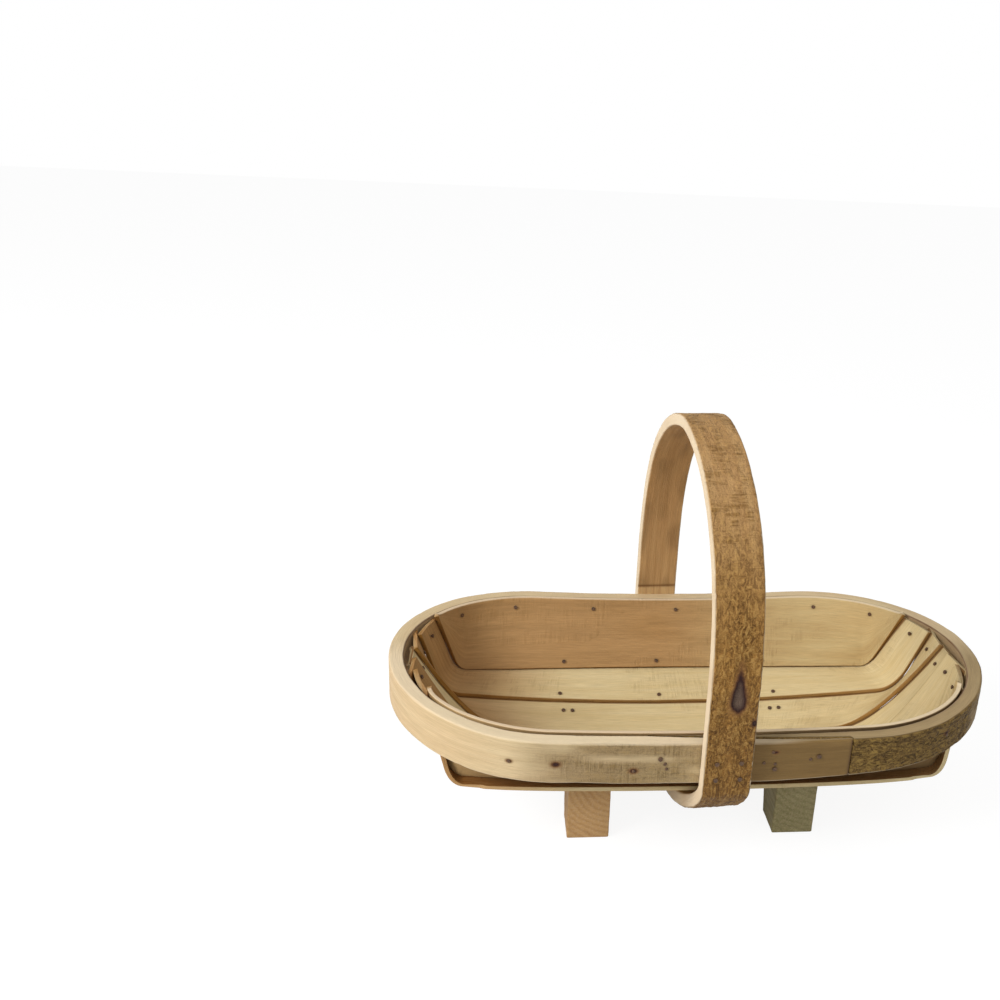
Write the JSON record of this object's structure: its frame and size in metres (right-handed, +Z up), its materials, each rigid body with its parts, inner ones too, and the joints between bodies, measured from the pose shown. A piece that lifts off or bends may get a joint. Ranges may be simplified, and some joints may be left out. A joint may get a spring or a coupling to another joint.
{
  "type": "trug garden basket",
  "caption": "Boat-shaped trug garden basket: bent wood rim and tall hoop handle, thin lapped boards bent lengthwise, and block feet.",
  "frame": {"origin": "on the floor under the feet, at the middle of the rim hoop", "axes": "+X along the basket, +Y across it to the back, +Z up"},
  "size_m": [0.406, 0.2304, 0.276],
  "materials": {
    "rim_wood": "bare bent wood",
    "handle_wood": "rough sawn bent wood",
    "side_board_wood": "bare planed wood",
    "board_wood": "bare planed wood",
    "foot_wood": "bare sawn wood",
    "nail_steel": "dark oxidised"
  },
  "bodies": {
    "root": {"rim_hoop": "rim_wood", "handle_hoop": "handle_wood", "side_board_front": "side_board_wood", "side_board_back": "side_board_wood", "second_board_front": "board_wood", "second_board_back": "board_wood", "third_board_front": "board_wood", "third_board_back": "board_wood", "centre_board": "board_wood", "foot_front_left": "foot_wood", "foot_front_right": "foot_wood", "foot_back_left": "foot_wood", "foot_back_right": "foot_wood", "rim_lap_nails": "nail_steel", "side_board_nails_front": "nail_steel", "side_board_nails_back": "nail_steel", "board_end_nails_left": "nail_steel", "board_end_nails_right": "nail_steel", "seam_nails_front": "nail_steel", "seam_nails_back": "nail_steel", "handle_nails_front": "nail_steel", "handle_nails_back": "nail_steel", "handle_bottom_nails": "nail_steel", "foot_nails_left": "nail_steel", "foot_nails_right": "nail_steel"}
  },
  "joints": []
}
